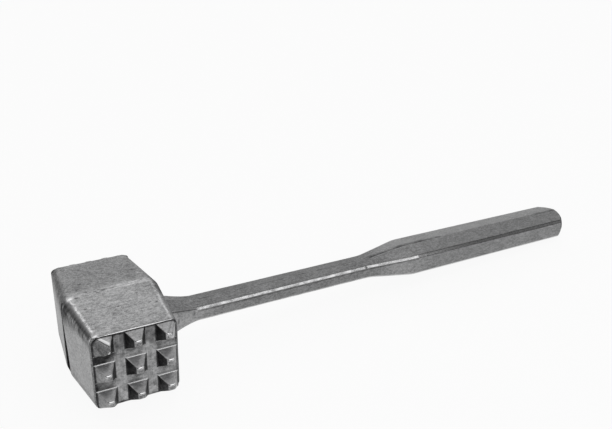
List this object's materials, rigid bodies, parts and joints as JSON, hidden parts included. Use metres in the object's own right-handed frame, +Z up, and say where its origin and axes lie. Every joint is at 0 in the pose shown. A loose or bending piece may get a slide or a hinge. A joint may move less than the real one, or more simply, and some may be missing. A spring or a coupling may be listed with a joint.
{
  "type": "meat tenderizer",
  "caption": "Cast aluminium meat mallet lying on its side: block head with a coarse and a fine toothed face, and a six-sided handle that flares into a flat grip.",
  "frame": {"origin": "middle of the base, on the table, under the centre of the bounding box", "axes": "+X from the head to the end of the grip, level over the table; Y across, with the coarse face to -Y and the fine face to +Y; +Z up. The mallet lies as the picture shows it, on one flank: three points touch the table, the lower corners of the parting ridge and of the fine face beside the neck, and the end of the grip, so the handle slopes down 3 degrees to +X and the head leans 3 degrees to +Y"},
  "size_m": [0.2504, 0.062, 0.0366],
  "materials": {
    "cast_head": "as-cast satin aluminium with a fine blasted grain and file marks on the parting ridge",
    "worn_teeth": "cast aluminium, dull in the channels and burnished at the tips",
    "cast_handle": "cast aluminium worn smooth by hand, with a thin parting line on both edges"
  },
  "bodies": {
    "root": {"head_coarse_half": "cast_head", "head_fine_half": "cast_head", "coarse_teeth": "worn_teeth", "fine_teeth": "worn_teeth", "neck": "cast_handle", "shaft": "cast_handle", "flare": "cast_handle", "grip": "cast_handle"}
  },
  "joints": []
}
